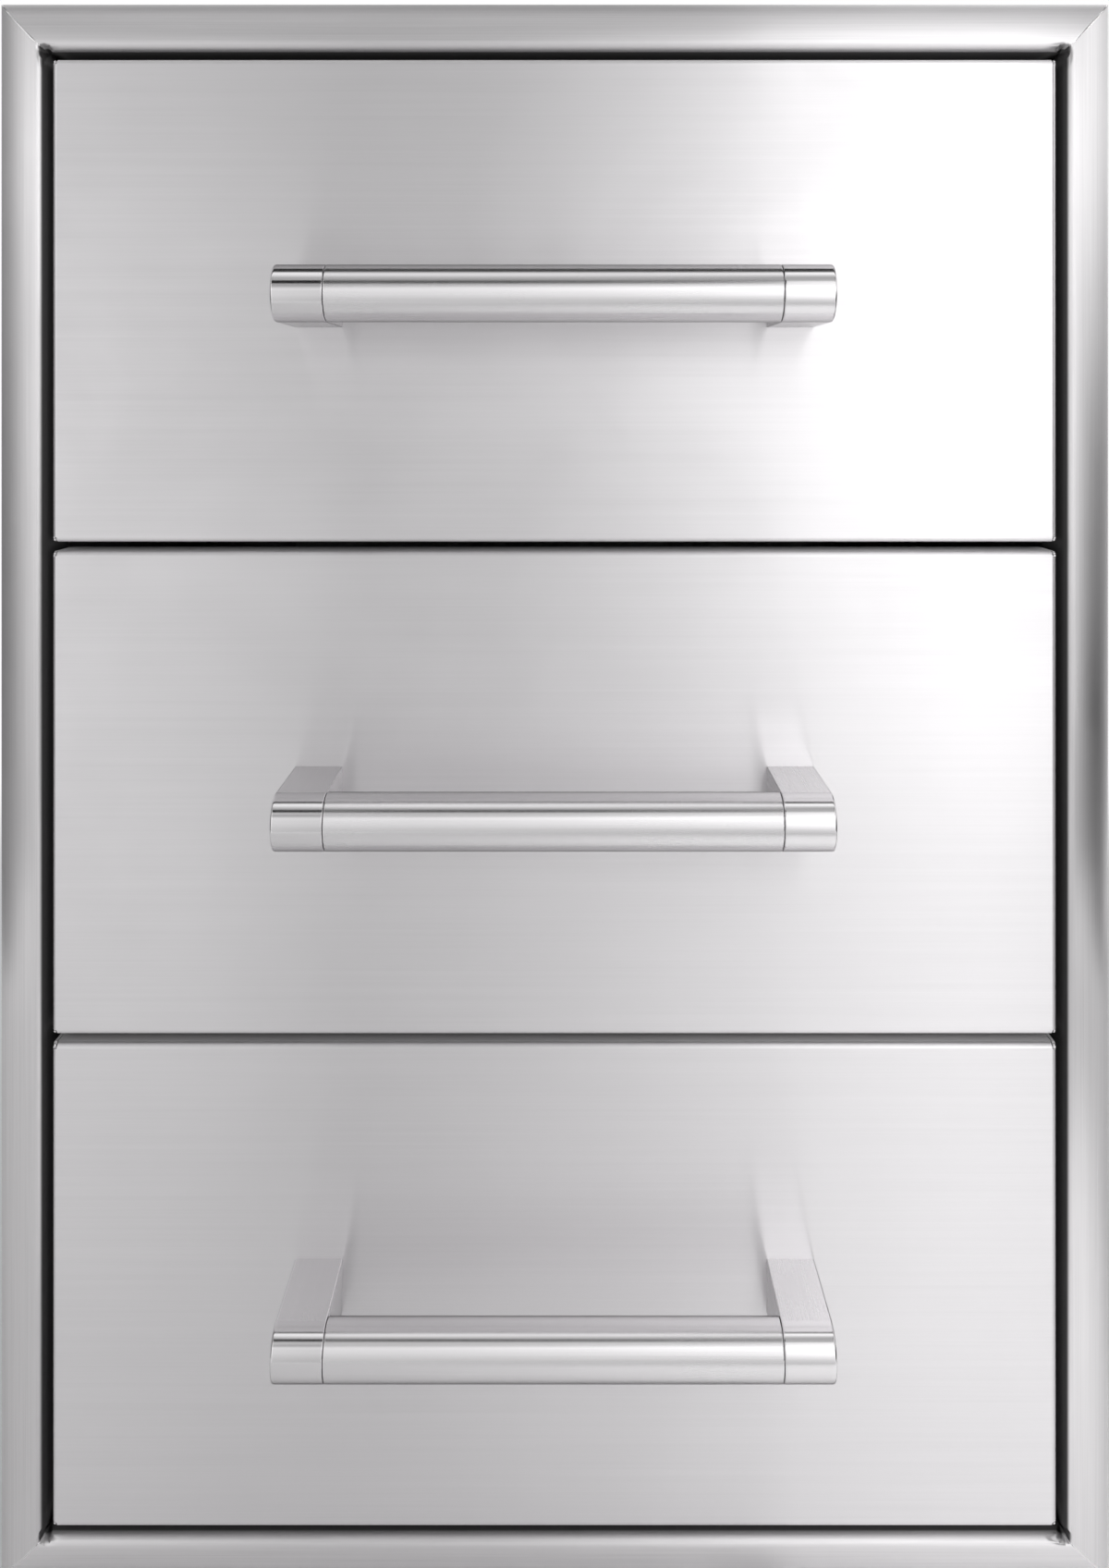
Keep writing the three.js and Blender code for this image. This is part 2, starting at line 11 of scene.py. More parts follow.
import bmesh
import bpy
import numpy as np
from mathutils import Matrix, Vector


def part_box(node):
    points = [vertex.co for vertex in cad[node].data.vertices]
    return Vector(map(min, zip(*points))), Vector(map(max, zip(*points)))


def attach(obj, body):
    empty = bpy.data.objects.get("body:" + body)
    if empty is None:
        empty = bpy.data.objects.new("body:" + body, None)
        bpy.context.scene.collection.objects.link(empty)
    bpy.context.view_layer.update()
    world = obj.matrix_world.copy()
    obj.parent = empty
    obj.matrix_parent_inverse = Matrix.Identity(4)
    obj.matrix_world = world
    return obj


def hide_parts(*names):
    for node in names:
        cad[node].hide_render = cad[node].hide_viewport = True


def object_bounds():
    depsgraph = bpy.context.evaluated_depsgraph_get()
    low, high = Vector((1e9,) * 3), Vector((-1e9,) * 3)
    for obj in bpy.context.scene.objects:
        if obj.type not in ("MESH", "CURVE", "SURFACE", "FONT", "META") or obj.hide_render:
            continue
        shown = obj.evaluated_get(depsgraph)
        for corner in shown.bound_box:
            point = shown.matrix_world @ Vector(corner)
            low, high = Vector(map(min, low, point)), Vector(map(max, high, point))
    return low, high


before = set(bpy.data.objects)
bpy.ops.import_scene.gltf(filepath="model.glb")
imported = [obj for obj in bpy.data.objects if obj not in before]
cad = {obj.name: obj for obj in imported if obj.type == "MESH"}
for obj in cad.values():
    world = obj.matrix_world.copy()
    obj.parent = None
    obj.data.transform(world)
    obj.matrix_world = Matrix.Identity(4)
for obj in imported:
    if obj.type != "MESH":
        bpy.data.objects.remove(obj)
bpy.context.scene.view_settings.view_transform = "Standard"
cad_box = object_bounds()

# %% [markdown]
# ## Sizes
# All lengths are in metres. The outside sizes are read from the boxes of the CAD nodes, so a piece
# goes where the CAD says. The sheet's thickness and the bend radii are a sheet-metal worker's values.

# %% Read the sizes that the pieces share
mm = 0.001
rows = ["top", "middle", "bottom"]
sides = ["left", "right"]
signs = (-1, 1)
sheet = 1.2 * mm
jamb_low, jamb_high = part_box("trim_left")
opening_left = jamb_high.x
opening_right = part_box("trim_right")[0].x
opening_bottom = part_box("trim_bottom")[1].z
opening_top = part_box("trim_top")[0].z
opening_half_width = (opening_right - opening_left) / 2
opening_half_height = (opening_top - opening_bottom) / 2
opening_centre = (opening_bottom + opening_top) / 2
trim_width = opening_left - jamb_low.x
trim_proud = -jamb_low.y
jamb_depth = jamb_high.y
front_low, front_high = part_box("middle_drawer_front")
face_y = front_low.y
front_half_width = (front_high.x - front_low.x) / 2
front_half_height = (front_high.z - front_low.z) / 2
row_height = {}
for row in rows:
    low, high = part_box(f"{row}_drawer_front")
    row_height[row] = (low.z + high.z) / 2
print("opening:", round(2 * opening_half_width, 4), "by", round(2 * opening_half_height, 4))
print("trim width:", round(trim_width, 4), "rows at", [round(z, 4) for z in row_height.values()])

# %% [markdown]
# ## Camera
# The photograph is a straight-on view. The lines of sight show that the lens stood in front of the
# top drawer, about 0.6 m away: each lower handle is seen more from above. A shifted lens keeps the
# upright edges parallel. The shift is a little smaller than the photograph's, so that the other
# views, which keep it, still hold the whole unit.

# %% Set the camera
def linked_object(name, data):
    made = bpy.data.objects.new(name, data)
    bpy.context.scene.collection.objects.link(made)
    return made


image_width, image_height = 1200, 1696
eye_pixel = (612, 432.5)
middle_row_pixel = 858
front_width_pixels = 1088
distance_pixels = 1550
sensor_width = 36
metres_per_pixel = 2 * front_half_width / front_width_pixels
camera_data = bpy.data.cameras.new("camera")
camera_data.sensor_width = sensor_width
camera_data.lens = sensor_width * distance_pixels / image_height
camera_data.shift_x = (image_width / 2 - eye_pixel[0]) / image_height
camera_data.shift_y = (eye_pixel[1] - image_height / 2) / image_height
camera_data.clip_start = 0.01
camera = linked_object("camera", camera_data)
eye_x = (eye_pixel[0] - image_width / 2) * metres_per_pixel
eye_height = row_height["middle"] + (middle_row_pixel - eye_pixel[1]) * metres_per_pixel
camera.location = (eye_x, face_y - distance_pixels * metres_per_pixel, eye_height)
camera.rotation_euler = (math.pi / 2, 0, 0)
bpy.context.scene.camera = camera
print("lens:", round(camera_data.lens, 1), "mm, camera at", [round(c, 3) for c in camera.location])

# %% [markdown]
# ## Small helpers
# A mesh is made from plain lists of points and faces. Smooth shading with sharp edges kept by angle
# gives round bends and crisp sheet edges from one setting.

# %% Make a mesh object from points and faces
def shade(mesh, sharp_angle):
    mesh.shade_smooth()
    mesh.set_sharp_from_angle(angle=math.radians(sharp_angle))


def finished_piece(name, mesh, material=None, sharp_angle=35):
    mesh.validate()
    shade(mesh, sharp_angle)
    if material:
        mesh.materials.append(material)
    return linked_object(name, mesh)


def mesh_piece(name, points, faces, material):
    mesh = bpy.data.meshes.new(name)
    mesh.from_pydata([tuple(p) for p in points], [], faces)
    return finished_piece(name, mesh, material)


def outward(mesh, sharp_angle=35):
    """Joins doubled points and turns every face outward."""
    work = bmesh.new()
    work.from_mesh(mesh)
    bmesh.ops.remove_doubles(work, verts=work.verts, dist=1e-6)
    bmesh.ops.recalc_face_normals(work, faces=work.faces)
    work.to_mesh(mesh)
    work.free()
    mesh.update()
    shade(mesh, sharp_angle)


# %% Loft rings of points into a skin, and join skins
def loft_rings(rings, close_ends=True):
    count = len(rings[0])
    points = [p for ring in rings for p in ring]
    last = len(points) - count
    faces = []
    for a in range(0, last, count):
        b = a + count
        faces += [(a + i, a + (i + 1) % count, b + (i + 1) % count, b + i) for i in range(count)]
    if close_ends:
        faces.append(tuple(reversed(range(count))))
        faces.append(tuple(last + i for i in range(count)))
    return points, faces


def merged(skins):
    points, faces = [], []
    for more_points, more_faces in skins:
        faces += [tuple(i + len(points) for i in face) for face in more_faces]
        points += more_points
    return points, faces


# %% [markdown]
# ## Floor, background and light
# The unit is shown on a pale paper floor that fades to white, as on a studio sweep. Polished and
# brushed steel has hardly any colour of its own: what it shows is the room. So the light is a large
# soft tent round the object. It is greyer on the left and white on the right. A black flag over the
# lens gives the bars their dark bands. The tent and the flag are hidden from the camera.

# %% Small helpers for node trees
def add_node(tree, kind, sockets=None, **settings):
    """Adds a node with its settings. Each socket named gets a value or is linked to an output."""
    node = tree.nodes.new(kind)
    for key, value in settings.items():
        setattr(node, key, value)
    for key, value in (sockets or {}).items():
        if isinstance(value, bpy.types.NodeSocket):
            tree.links.new(value, node.inputs[key])
        else:
            node.inputs[key].default_value = value
    return node


def maths(tree, operation, *values):
    return add_node(tree, "ShaderNodeMath", dict(enumerate(values)), operation=operation).outputs[0]


def vector_maths(tree, operation, *values):
    return add_node(tree, "ShaderNodeVectorMath", dict(enumerate(values)), operation=operation).outputs


def map_range(tree, value, low, high, kind="LINEAR", to=(0, 1)):
    sockets = {"Value": value, "From Min": low, "From Max": high, "To Min": to[0], "To Max": to[1]}
    return add_node(tree, "ShaderNodeMapRange", sockets, interpolation_type=kind).outputs["Result"]


def object_place(tree):
    return add_node(tree, "ShaderNodeTexCoord").outputs["Object"]


def separate(tree, place):
    return add_node(tree, "ShaderNodeSeparateXYZ", {0: place}).outputs


def mix_shaders(tree, share, first, second):
    return add_node(tree, "ShaderNodeMixShader", {0: share, 1: first.outputs[0], 2: second.outputs[0]})


def new_material(name):
    material = bpy.data.materials.new(name)
    material.use_nodes = True
    material.node_tree.nodes.clear()
    return material, material.node_tree


def set_surface(tree, shader):
    add_node(tree, "ShaderNodeOutputMaterial", {"Surface": shader.outputs[0]})


def seen_directly(tree):
    """1 for what the camera, a mirror or a clear piece sees, and 0 for light that spreads."""
    path = add_node(tree, "ShaderNodeLightPath").outputs
    seen = maths(tree, "MAXIMUM", path["Is Camera Ray"], path["Is Glossy Ray"])
    return maths(tree, "MAXIMUM", seen, path["Is Transmission Ray"])


# %% [markdown]
# The tent is a box of cloth walls, as product photographers use. Each wall glows by its own soft
# ramps, one along each of its two directions, given as a place in metres and a brightness. The wall
# in front carries a large soft light at the right of the camera. The right wall is bright above and
# dark below. The ceiling has a bright strip in front of the unit and a dark one over it: these draw
# the thin bands along the tops of the bars. The cloth is there for the steel to mirror: the paper floor
# doesn't see it and is lit by the white room, so no edge of the tent shows on the floor.

# %% Choose the brightness of the tent's five walls
floor_height = cad_box[0].z
tent_half_width, tent_front, tent_back, tent_top = 0.9, -0.8, 0.9, 1.3
tent_low, tent_high = (-tent_half_width, tent_front, floor_height), (tent_half_width, tent_back, tent_top)
at_low, at_high = 0, 1
x_axis, y_axis, z_axis = range(3)
tent_light = {
    "front": (at_low, x_axis, z_axis, [
        ([(-0.78, 0.7), (-0.4, 0.25), (-0.05, 0.27), (0.25, 0.91), (0.52, 1.2), (0.6, 0.05), (0.9, 0)],
         [(0.05, 0.65), (0.4, 1.35), (0.6, 1.5), (0.75, 2.05), (0.95, 1.15), (1.25, 0.85)]),
        ([(-0.75, 0.1), (-0.4, 1), (-0.2, 0.55), (-0.05, 0.7), (0.1, 0.32), (0.25, 0.18), (0.38, 0.38),
          (0.53, 0)],
         [(0.05, 0.58), (0.68, 0.5), (0.85, 0.02), (0.95, 0.1), (1.05, 0.4)])]),
    "right": (at_high, y_axis, z_axis, [
        ([(-0.7, 1), (-0.33, 0.69), (0, 0.37), (0.65, 0.33)],
         [(0.2, 0), (0.43, 0.3), (0.73, 1.8), (0.9, 1.7), (1.15, 1.2)]),
        ([(0.02, 0), (0.25, 0.94), (0.65, 1)], [(0.06, 1.4), (0.18, 0.95), (0.58, 0.31), (1.15, 0.2)])]),
    "left": (at_low, y_axis, z_axis, [
        ([(-0.65, 1), (-0.38, 0.5), (0.2, 0.3), (0.65, 0.6)],
         [(0.12, 0.45), (0.38, 0.35), (0.63, 0.5), (0.88, 0.88), (1.15, 1.05)])]),
    "top": (at_high, x_axis, y_axis, [
        ([(-0.7, 0.3), (-0.35, 0.8), (-0.1, 1), (0.28, 0.69), (0.6, 0.03)],
         [(-0.5, 0.45), (-0.35, 0.8), (-0.15, 0.95), (-0.03, 0.05), (0.18, 0), (0.6, 0.75)]),
        ([(-0.7, 0.48), (-0.1, 0), (0.1, 0.1), (0.43, 0.65), (0.8, 0.95)],
         [(-0.58, 0.38), (-0.45, 0.12), (-0.35, 0.12), (-0.15, 1.6), (-0.03, 0.2), (0.18, 0), (0.6, 2.4)])]),
    "back": (at_high, x_axis, z_axis, [([(-0.9, 1), (0.9, 1)], [(0, 0.6), (1.3, 0.6)])]),
}
print("tent walls:", len(tent_light), "from", [round(v, 3) for v in tent_low], "to", tent_high)


# %% Hang the walls of the tent
def place_ramp(tree, split, axis, stops):
    """The brightness along one axis of the tent, from stops of a place and a brightness."""
    low, high = tent_low[axis], tent_high[axis]
    ramp = add_node(tree, "ShaderNodeValToRGB", {"Fac": map_range(tree, split[axis], low, high)})
    elements = ramp.color_ramp.elements
    while len(elements) < len(stops):
        elements.new(0.5)
    for element, (at, level) in zip(elements, stops):
        element.position = (at - low) / (high - low)
        element.color = (level, level, level, 1)
    return ramp.outputs["Color"]


def stage_for_mirrors(piece):
    """Keeps a piece for the steel to mirror: neither the camera nor the paper sees it."""
    piece.visible_camera = False
    piece.visible_diffuse = False


def tent_wall(name, end, first, second, products):
    material, tree = new_material(f"tent_{name}_light")
    split = separate(tree, object_place(tree))
    strength = 0
    for first_stops, second_stops in products:
        one = place_ramp(tree, split, first, first_stops)
        two = place_ramp(tree, split, second, second_stops)
        strength = maths(tree, "MULTIPLY_ADD", one, two, strength)
    glow = add_node(tree, "ShaderNodeEmission", {"Strength": strength})
    clear_side = add_node(tree, "ShaderNodeBsdfTransparent")
    behind = add_node(tree, "ShaderNodeNewGeometry").outputs["Backfacing"]
    set_surface(tree, mix_shaders(tree, behind, glow, clear_side))
    ends = (tent_low, tent_high)
    corners = []
    for a, b in ((0, 0), (1, 0), (1, 1), (0, 1)):
        corner = Vector(ends[end])
        corner[first] = ends[a][first]
        corner[second] = ends[b][second]
        corners.append(corner)
    to_middle = (Vector(tent_low) + Vector(tent_high)) / 2 - corners[0]
    if (corners[1] - corners[0]).cross(corners[2] - corners[0]).dot(to_middle) < 0:
        corners.reverse()
    stage_for_mirrors(mesh_piece(f"tent_{name}", corners, [range(4)], material))


for name, wall_light in tent_light.items():
    tent_wall(name, *wall_light)
print("tent of", len(tent_light), "walls")

# %% [markdown]
# Photographers hang a black flag just above the lens, which draws one dark band along every bright
# round. It hangs near the bars, so each bar shows it at another height, as in the photograph.

# %% Hang the black flag over the lens
flag_y, flag_z = -0.396, 0.825
flag_left, flag_right = -0.4, 0.14
flag_width = 0.115
flag_tilt = math.radians(51)
black_cloth, tree = new_material("black_cloth")
set_surface(tree, add_node(tree, "ShaderNodeBsdfDiffuse", {"Color": (0.02, 0.02, 0.02, 1)}))
flag_corners = []
for x, sign in ((flag_left, -1), (flag_right, -1), (flag_right, 1), (flag_left, 1)):
    reach = sign * flag_width / 2
    flag_corners.append((x, flag_y + reach * math.sin(flag_tilt), flag_z + reach * math.cos(flag_tilt)))
stage_for_mirrors(mesh_piece("black_flag", flag_corners, [range(4)], black_cloth))
print("flag over the lens at", (flag_y, flag_z))

# %% Lay the paper floor
floor_radius, floor_sides, floor_middle_y = 8, 96, 0.2
fade_start, fade_end = 0.8, 1.35
paper_floor, tree = new_material("paper_floor")
reach = vector_maths(tree, "LENGTH", object_place(tree))["Value"]
fade = map_range(tree, reach, fade_start, fade_end, "SMOOTHSTEP")
blend = maths(tree, "MULTIPLY", fade, seen_directly(tree))
paper = add_node(tree, "ShaderNodeBsdfDiffuse", {"Color": (0.95, 0.95, 0.95, 1)})
white = add_node(tree, "ShaderNodeEmission", {"Color": (1, 1, 1, 1)})
set_surface(tree, mix_shaders(tree, blend, paper, white))
turns = np.linspace(0, 2 * math.pi, floor_sides, endpoint=False)
circle = [(floor_radius * math.cos(a), floor_radius * math.sin(a), 0) for a in turns]
floor = mesh_piece("paper_floor", circle, [range(floor_sides)], paper_floor)
floor.location = (0, floor_middle_y, floor_height)
print("paper floor at", round(floor_height, 4))

# %% Light the paper in front of the unit
# The lower panels mirror the paper just in front of them. A soft spot, which the steel itself
# doesn't mirror, brightens the paper at the right, so that the lower fronts brighten there too.
paper_spot = bpy.data.lights.new("paper_spot", "SPOT")
paper_spot.energy = 24
paper_spot.spot_size = math.radians(34)
paper_spot.spot_blend = 1
paper_spot.shadow_soft_size = 0.12
spot_object = linked_object("paper_spot", paper_spot)
spot_object.location = (0.26, -0.22, 1.2)
spot_object.visible_glossy = False
print("spot over the paper at", [round(v, 2) for v in spot_object.location])

# %% Set the white background
room_light = 0.6
world = bpy.data.worlds.new("white_room")
bpy.context.scene.world = world
world.use_nodes = True
tree = world.node_tree
tree.nodes.clear()
strength = maths(tree, "MULTIPLY_ADD", seen_directly(tree), 1 - room_light, room_light)
room = add_node(tree, "ShaderNodeBackground", {"Color": (1, 1, 1, 1), "Strength": strength})
add_node(tree, "ShaderNodeOutputWorld", {"Surface": room.outputs[0]})
print("white room around a tent")

# %% [markdown]
# ## Brushed grain
# Brushing leaves thousands of fine parallel scratches. Each scratch scatters light across itself and
# hardly along itself, so reflections smear across the grain. Two things make this look: the
# shader's anisotropy, and a noise that is stretched along the grain, for the scratches that can be
# seen. The noise is a shader group, used by every brushed part with its own lines per metre.

# %% Build the grain group
number, vector, geometry = "NodeSocketFloat", "NodeSocketVector", "NodeSocketGeometry"


def new_group(name, kind, inputs, outputs):
    """A node group with inputs (label, type, value) and outputs (label, type)."""
    group = bpy.data.node_groups.new(name, kind)
    for label, socket_type, value in inputs:
        socket = group.interface.new_socket(label, in_out="INPUT", socket_type=socket_type)
        if value is not None:
            socket.default_value = value
    for label, socket_type in outputs:
        group.interface.new_socket(label, in_out="OUTPUT", socket_type=socket_type)
    return group, add_node(group, "NodeGroupInput").outputs


def noise(tree, sockets):
    return add_node(tree, "ShaderNodeTexNoise", sockets).outputs[0]


fine_share = 0.55
brushed_grain, given = new_group(
    "brushed_grain", "ShaderNodeTree",
    [("Place", vector, None), ("Lines per metre", vector, (10, 2000, 2000))],
    [("Streak", number), ("Relief", number)])
scaled = vector_maths(brushed_grain, "MULTIPLY", given["Place"], given["Lines per metre"])[0]
fine = noise(brushed_grain, {"Scale": 1.0, "Detail": 3.0, "Roughness": 0.6, "Vector": scaled})
broad = noise(brushed_grain, {"Scale": 0.21, "Detail": 4.0, "Roughness": 0.7, "Vector": scaled})
broad_part = maths(brushed_grain, "MULTIPLY", broad, 1 - fine_share)
streak = maths(brushed_grain, "MULTIPLY_ADD", fine, fine_share, broad_part)
add_node(brushed_grain, "NodeGroupOutput", {"Streak": streak, "Relief": fine})
print("group:", brushed_grain.name)

# %% [markdown]
# Hands and cloths leave faint clouds on steel. A large soft noise, used at a few per cent, changes
# the roughness a little from place to place, so that a wide panel isn't dead flat.

# %% Build the handling marks group
handling_marks, given = new_group(
    "handling_marks", "ShaderNodeTree", [("Place", vector, None), ("Marks per metre", number, 9.0)],
    [("Mark", number)])
cloud = noise(handling_marks, {"Detail": 5.0, "Roughness": 0.6, "Distortion": 0.4, "Vector": given["Place"],
                               "Scale": given["Marks per metre"]})
mark = map_range(handling_marks, cloud, 0.35, 0.7, "SMOOTHSTEP")
add_node(handling_marks, "NodeGroupOutput", {"Mark": mark})
print("group:", handling_marks.name)

# %% [markdown]
# Edges wear first: cloths and hands polish them. The Bevel node looks a little round each corner,
# and where its normal differs from the true one there is an edge. In the narrow gaps, painted shade
# darkens the colour with depth, where little light gets in, and the metal there is made rougher. That
# mask is a ramp along the depth, kept to what lies inside the opening, so the trim's outer curve stays
# unshaded.

# %% Build the edge wear group
edge_wear, given = new_group("edge_wear", "ShaderNodeTree", [("Width", number, 0.6 * mm)], [("Wear", number)])
rounded = add_node(edge_wear, "ShaderNodeBevel", {"Radius": given["Width"]}, samples=4).outputs[0]
true_normal = add_node(edge_wear, "ShaderNodeNewGeometry").outputs["Normal"]
same = vector_maths(edge_wear, "DOT_PRODUCT", rounded, true_normal)["Value"]
add_node(edge_wear, "NodeGroupOutput", {"Wear": map_range(edge_wear, same, 0.995, 0.85)})
print("group:", edge_wear.name)

# %% Build the painted gap shade group
# Painted shade: a mask that grows with depth into the narrow gaps, inside the opening only.
gap_soil, given = new_group(
    "gap_soil", "ShaderNodeTree",
    [("Place", vector, None), ("Clean to", number, -16.8 * mm), ("Soiled from", number, -14.5 * mm),
     ("Opening centre", vector, (0, 0, opening_centre)),
     ("Opening half", vector, (opening_half_width, 1, opening_half_height))],
    [("Soil", number)])
from_centre = vector_maths(gap_soil, "SUBTRACT", given["Place"], given["Opening centre"])[0]
either_side = vector_maths(gap_soil, "ABSOLUTE", from_centre)[0]
beyond = separate(gap_soil, vector_maths(gap_soil, "SUBTRACT", either_side, given["Opening half"])[0])
outside = maths(gap_soil, "MAXIMUM", beyond["X"], beyond["Z"])
inside = map_range(gap_soil, outside, 3.0 * mm, 1.8 * mm, "SMOOTHSTEP")
depth = separate(gap_soil, given["Place"])["Y"]
deep = map_range(gap_soil, depth, given["Clean to"], given["Soiled from"], "SMOOTHSTEP")
add_node(gap_soil, "NodeGroupOutput", {"Soil": maths(gap_soil, "MULTIPLY", deep, inside)})
print("group:", gap_soil.name)


# %% Make a steel finish from the four groups
streak_polish = 0.12
edge_shine, edge_polish = 0.05, 0.3
gap_roughness = 0.2
grain_height = 0.02 * mm


def use_group(tree, group, sockets):
    return add_node(tree, "ShaderNodeGroup", sockets, node_tree=group).outputs


def steel_finish(name, colour, lines, roughness, stretch, grain_axis, streak_depth=0.05, relief=0.15,
                 mark_depth=0.04, marks=9.0, smear_turn=0.25, painted_shade=None, wear_width=0.6 * mm, rim=0.8):
    material, tree = new_material(name)
    place = object_place(tree)
    grain = use_group(tree, brushed_grain, {"Place": place, "Lines per metre": lines})
    mark = use_group(tree, handling_marks, {"Place": place, "Marks per metre": marks})["Mark"]
    wear = use_group(tree, edge_wear, {"Width": wear_width})["Wear"]
    tone = map_range(tree, grain["Streak"], 0.3, 0.7, to=(1 - streak_depth, 1))
    level = maths(tree, "MULTIPLY_ADD", wear, edge_shine, tone)
    rough = maths(tree, "MULTIPLY_ADD", grain["Streak"], -streak_polish, roughness + streak_polish / 2)
    rough = maths(tree, "MULTIPLY_ADD", mark, mark_depth, rough)
    rough = maths(tree, "MULTIPLY_ADD", wear, -edge_polish * roughness, rough)
    # Painted shade in the gaps: the colour is darkened with depth, and the metal there is made rougher.
    if painted_shade:
        unshaded_to, shaded_from, left = painted_shade
        depths = {"Place": place, "Clean to": unshaded_to, "Soiled from": shaded_from}
        gap_shade_mask = use_group(tree, gap_soil, depths)["Soil"]
        level = maths(tree, "MULTIPLY", level, maths(tree, "MULTIPLY_ADD", gap_shade_mask, left - 1, 1))
        rough = maths(tree, "MULTIPLY_ADD", gap_shade_mask, gap_roughness, rough)
    tint = add_node(tree, "ShaderNodeVectorMath", {0: colour, "Scale": level}, operation="SCALE")
    scratches = {"Strength": relief, "Distance": grain_height, "Height": grain["Relief"]}
    bump = add_node(tree, "ShaderNodeBump", scratches)
    look = {"Metallic": 1.0, "Specular Tint": (rim, rim, rim, 1), "Anisotropic": stretch,
            "Anisotropic Rotation": smear_turn, "Base Color": tint.outputs[0], "Roughness": rough,
            "Normal": bump.outputs[0]}
    if stretch:
        look["Tangent"] = add_node(tree, "ShaderNodeCombineXYZ", dict(enumerate(grain_axis))).outputs[0]
    set_surface(tree, add_node(tree, "ShaderNodeBsdfPrincipled", look))
    return material


# %% Mix the steels of the unit
across, upright, inward = (1, 0, 0), (0, 0, 1), (0, 1, 0)
# Painted shade for the gaps: the depth where it starts, the depth where it is full, and the share of colour
# left there.
front_gap_shade = (face_y + 1.6 * mm, face_y + 4.5 * mm, 0.65)
across_gap_shade = (-14.4 * mm, -12.4 * mm, 0.12)
upright_gap_shade = (-16.9 * mm, -15.9 * mm, 0.12)
front_brushed = steel_finish("front_brushed", (0.955, 0.938, 0.954), (9, 2000, 2000), 0.31, 1.0, across,
                             painted_shade=front_gap_shade)
trim_across = steel_finish("trim_across", (0.975, 0.958, 0.972), (12, 1900, 1900), 0.31, 1.0, across, 0.13,
                           painted_shade=across_gap_shade, rim=0.85)
trim_upright = steel_finish("trim_upright", (0.962, 0.945, 0.957), (1900, 1900, 12), 0.29, 1.0, upright, 0.13,
                            painted_shade=upright_gap_shade, rim=0.6)
bar_satin = steel_finish("bar_satin", (0.915, 0.9, 0.914), (14, 3000, 3000), 0.25, 0.8, across, 0.07, 0.05,
                         smear_turn=0.0, wear_width=0.3 * mm, rim=0.4)
bracket_bright = steel_finish("bracket_bright", (0.905, 0.89, 0.904), (20, 3500, 3500), 0.12, 0.3, across,
                              0.02, 0.05, 0.02, wear_width=0.5 * mm, rim=0.4)
bracket_flat = steel_finish("bracket_flat", (0.905, 0.89, 0.904), (2600, 16, 2600), 0.26, 0.4, inward,
                            0.03, 0.03, wear_width=0.5 * mm, rim=0.7)
weld_bright = steel_finish("weld_bright", (0.925, 0.91, 0.923), (900, 900, 900), 0.2, 0.0, across)
box_sheet = steel_finish("box_sheet", (0.715, 0.707, 0.715), (2200, 8, 8), 0.42, 0.3, upright,
                         0.08, 0.1, 0.1, 5)
tray_sheet = steel_finish("tray_sheet", (0.735, 0.727, 0.735), (2200, 8, 2200), 0.40, 0.4, inward,
                          0.08, 0.1, 0.08, 6)
zinc_plate = steel_finish("zinc_plate", (0.66, 0.68, 0.71), (400, 60, 400), 0.32, 0.0, inward,
                          0.1, 0.1, 0.12, 30)
cage_strip = steel_finish("cage_strip", (0.55, 0.55, 0.56), (600, 80, 600), 0.36, 0.0, inward,
                          0.08, 0.1, 0.1, 40)
ball_steel = steel_finish("ball_steel", (0.86, 0.87, 0.88), (300, 300, 300), 0.08, 0.0, inward,
                          0.02, 0.02, 0.03, 50)
screw_steel = steel_finish("screw_steel", (0.78, 0.78, 0.79), (900, 900, 900), 0.26, 0.0, inward,
                           0.05, 0.1, 0.05, 60, wear_width=0.3 * mm)
rivet_steel = steel_finish("rivet_steel", (0.88, 0.88, 0.88), (700, 700, 700), 0.2, 0.0, inward,
                           0.06, 0.1, 0.08, 60, wear_width=0.3 * mm)
stage_names = ("paper", "tent", "black")
print("finishes:", [m.name for m in bpy.data.materials if not m.name.startswith(stage_names)])

# %% [markdown]
# ## Trim frame
# Each rail is a strip of sheet rolled to a half-round nose, with a jamb that goes into the opening
# and a flat lip on the wall. The rails meet in mitres that are welded and ground flush. A rail
# follows a rule: one section, carried along a line and cut at 45 degrees. So its skin is lofted from
# rings of the same section, with extra rings close to the mitre for the rounded outer corner and
# the small scoop that the grinder leaves at the inner corner.

# %% Draw the trim's section
nose_radius = 3.8 * mm
edge_bend = 2 * mm
lip_length = 9 * mm
nose_steps, face_steps, bend_steps = 12, 36, 8


def arc(centre, radii, first, last, steps):
    angles = np.radians(np.linspace(first, last, steps + 1))
    return [(centre[0] + radii[0] * math.cos(a), centre[1] + radii[1] * math.sin(a)) for a in angles]


def offset_sheet(line, thickness):
    """A closed outline round a centre line of (u, v) points, its left side first."""
    line = np.array(line)
    step = np.diff(line, axis=0)
    step /= np.linalg.norm(step, axis=1)[:, None]
    into = np.vstack([step[:1], step])
    out = np.vstack([step, step[-1:]])
    along = into + out
    along /= np.linalg.norm(along, axis=1)[:, None]
    reach = thickness / 2 / (along * out).sum(1)
    normal = np.column_stack([-along[:, 1], along[:, 0]]) * reach[:, None]
    return np.vstack([line + normal, (line - normal)[::-1]])


def trim_section():
    half = sheet / 2
    inner = nose_radius - half
    low = edge_bend + half
    face_radii = (trim_width - nose_radius - half, trim_proud - half - low)
    line = [(half, -jamb_depth), (half, trim_proud - nose_radius)]
    line += arc((nose_radius, trim_proud - nose_radius), (inner, inner), 180, 90, nose_steps)[1:]
    line += arc((nose_radius, low), face_radii, 90, 0, face_steps)[1:]
    line += arc((trim_width - edge_bend - half, low), (edge_bend, edge_bend), 0, -90, bend_steps)[1:]
    line += [(trim_width - lip_length, half)]
    return offset_sheet(line, sheet)


section = trim_section()
print("section points:", len(section), "from", section.min(0).round(5), "to", section.max(0).round(5))

